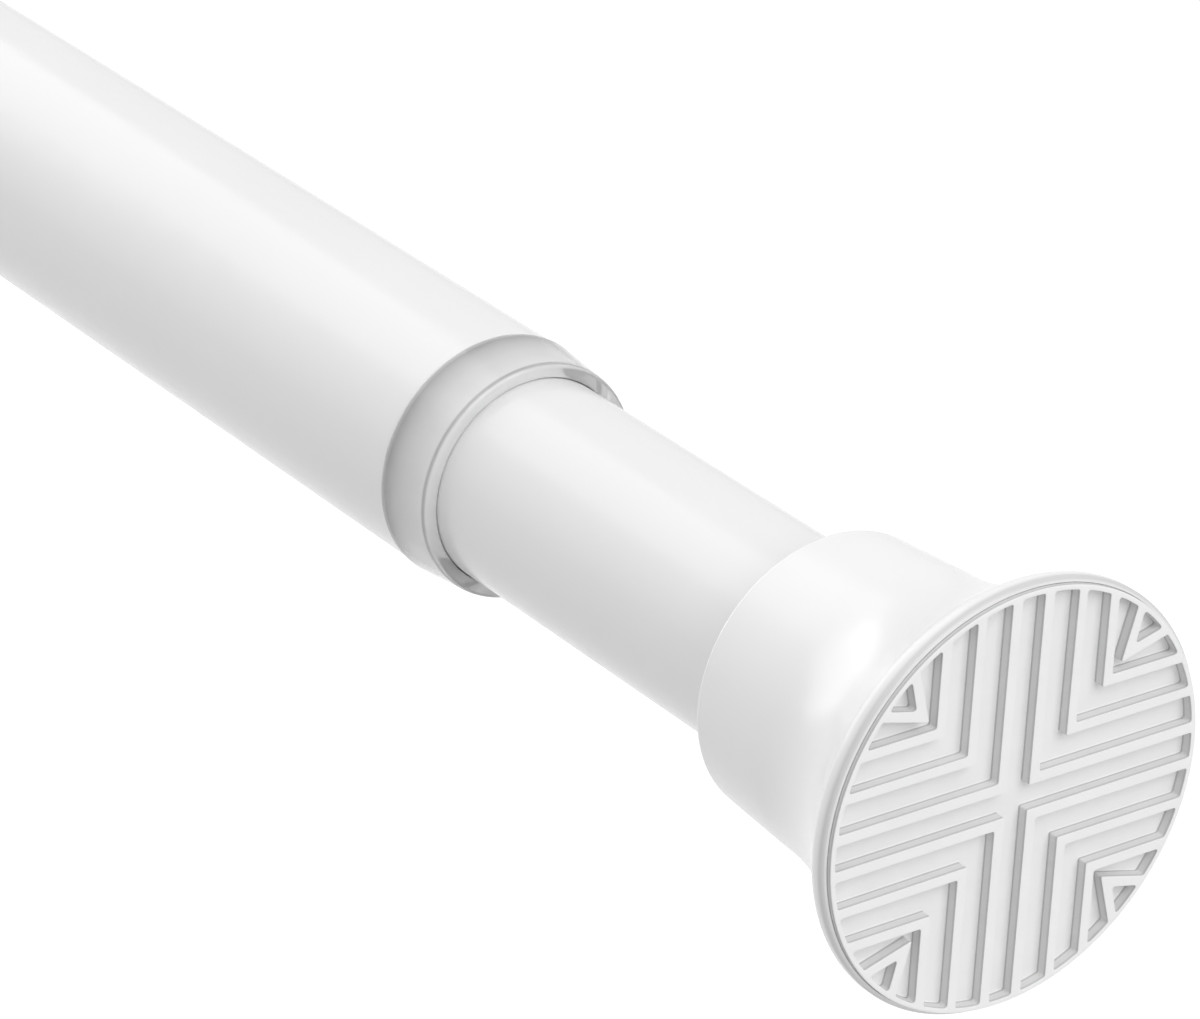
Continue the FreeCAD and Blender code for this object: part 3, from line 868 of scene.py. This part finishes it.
# %% [markdown]
# ## The spring
# The spring is round wire wound in a coil, with a close turn at each end ground flat to sit
# square. A small circle is set where the wire starts, and the Screw modifier winds it: once
# closely, six times open, once closely again. The three windings meet turn for turn. Pressed
# right in, the rod squashes the spring from 80 to 55 mm, towards the stop that it stands on.

# %% Wind the spring
WIRE = 0.8 * MM
AROUND_WIRE = 16
COIL = 8.0 * MM
STEPS_A_TURN = 40
OPEN_TURNS = 6
CLOSE_PITCH = 1.7 * MM
GROUND = 0.3 * MM
spring_low, spring_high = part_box("compression_spring")


def winding(name, x, pitch, turns):
    """Wire wound round the rod from one place, with a pitch for each turn."""
    bpy.ops.object.select_all(action="DESELECT")
    bpy.ops.mesh.primitive_circle_add(vertices=AROUND_WIRE, radius=WIRE, location=(x, 0, COIL),
                                      rotation=(math.radians(90), 0, 0))
    coil = bpy.context.object
    coil.name = coil.data.name = name
    bpy.ops.object.transform_apply(location=True, rotation=True, scale=True)
    bpy.ops.object.modifier_add(type="SCREW")
    screw = coil.modifiers[-1]
    screw.axis = "X"
    screw.screw_offset = pitch
    screw.iterations = turns
    screw.steps = screw.render_steps = STEPS_A_TURN
    bpy.ops.object.modifier_apply(modifier=screw.name)
    return coil


first_x, last_x = spring_low.x + WIRE, spring_high.x - WIRE
open_length = last_x - first_x - 2 * CLOSE_PITCH
windings = [
    winding("spring_wound", first_x, CLOSE_PITCH, 1),
    winding("open_turns", first_x + CLOSE_PITCH, open_length / OPEN_TURNS, OPEN_TURNS),
    winding("end_turn", last_x - CLOSE_PITCH, CLOSE_PITCH, 1),
]
spring = join(*windings)
only(spring)
bpy.ops.object.mode_set(mode="EDIT")
bpy.ops.mesh.select_all(action="SELECT")
bpy.ops.mesh.remove_doubles(threshold=NEAR)
bpy.ops.mesh.select_all(action="DESELECT")
bpy.ops.mesh.select_non_manifold()
bpy.ops.mesh.fill(use_beauty=True)
for x, outward in ((spring_low.x + GROUND, -1), (spring_high.x - GROUND, 1)):
    bpy.ops.mesh.select_all(action="SELECT")
    bpy.ops.mesh.bisect(plane_co=(x, 0, 0), plane_no=(outward, 0, 0), clear_outer=True, use_fill=True)
bpy.ops.mesh.select_all(action="SELECT")
bpy.ops.mesh.normals_make_consistent(inside=False)
bpy.ops.object.mode_set(mode="OBJECT")
finish_piece(spring, "inner", "spring_steel", spring_steel, "compression_spring")
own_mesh(spring)

# %% [markdown]
# ## The studio
# The picture is a product shot on white. The floor is pale grey under the lamps and is lifted to
# white only for the rays that show it: those of the camera, of mirrors and of clear pieces. What
# it throws back on the rod stays that of a pale floor, and so does the rod's shadow on it.

# %% Lay the floor
FLOOR_PLACE = (0.24, 0, -0.3)
FLOOR_SIZE = 8
FLOOR_LIFT = 0.5


def seen_share(nodes, links):
    """One for rays that show the background: camera, mirror and glass rays."""
    path = nodes.new("ShaderNodeLightPath")
    first = nodes.new("ShaderNodeMath")
    first.operation = "MAXIMUM"
    second = nodes.new("ShaderNodeMath")
    second.operation = "MAXIMUM"
    links.new(path.outputs["Is Camera Ray"], first.inputs[0])
    links.new(path.outputs["Is Glossy Ray"], first.inputs[1])
    links.new(first.outputs[0], second.inputs[0])
    links.new(path.outputs["Is Transmission Ray"], second.inputs[1])
    return second.outputs[0]


floor_white = surface("floor_white", (0.7, 0.7, 0.7), 0.9)
vary_gloss(floor_white, 4, 0.85, 0.95)
nodes, links = floor_white.node_tree.nodes, floor_white.node_tree.links
lift = nodes.new("ShaderNodeMath")
lift.operation = "MULTIPLY"
lift.inputs[1].default_value = FLOOR_LIFT
links.new(seen_share(nodes, links), lift.inputs[0])
nodes["Principled BSDF"].inputs["Emission Color"].default_value = (1, 1, 1, 1)
links.new(lift.outputs[0], nodes["Principled BSDF"].inputs["Emission Strength"])
bpy.ops.object.select_all(action="DESELECT")
bpy.ops.mesh.primitive_plane_add(size=FLOOR_SIZE, location=FLOOR_PLACE)
floor = bpy.context.object
floor.name = "floor"
floor.data.materials.append(floor_white)

# %% [markdown]
# The world is white where it is seen and lights the rod at less than half of that. A long softbox
# hangs over the rod and draws the pale band along it. One high in front lights the tread and
# leaves each rib's shadow in the channel below. One far along the rod stands so low that it
# grazes the tubes and lights the back of the flare. Nothing lights the near side from below,
# which is where the rod has its grey core.

# %% Light the rod
WORLD_LIGHT = 0.395
world = bpy.data.worlds.new("studio")
bpy.context.scene.world = world
world.use_nodes = True
nodes, links = world.node_tree.nodes, world.node_tree.links
background = nodes["Background"]
background.inputs["Color"].default_value = (1, 1, 1, 1)
level_of_light = nodes.new("ShaderNodeMapRange")
level_of_light.inputs["To Min"].default_value = WORLD_LIGHT
links.new(seen_share(nodes, links), level_of_light.inputs["Value"])
links.new(level_of_light.outputs["Result"], background.inputs["Strength"])


def softbox(name, place, target, width, length, radiance):
    """A rectangular lamp that faces a target, with its brightness given as a plain level."""
    bpy.ops.object.light_add(type="AREA", location=place)
    lamp = bpy.context.object
    lamp.name = name
    lamp.rotation_euler = (Vector(target) - Vector(place)).to_track_quat("-Z", "Y").to_euler()
    lamp.data.shape = "RECTANGLE"
    lamp.data.size = width
    lamp.data.size_y = length
    lamp.data.energy = radiance * math.pi * width * length


softbox("softbox_over", (-0.4, -0.18, 0.8), (-0.3, 0, 0), 2.6, 0.75, 0.93)
softbox("softbox_back", (-1.6, -0.25, 0.4), (0.46, 0, 0), 1.2, 1.2, 2.0)
softbox("softbox_front", (1.5, 0.1, 0.9), (0.45, 0, 0), 1.2, 1.2, 2.55)
bpy.context.scene.view_settings.view_transform = "Standard"
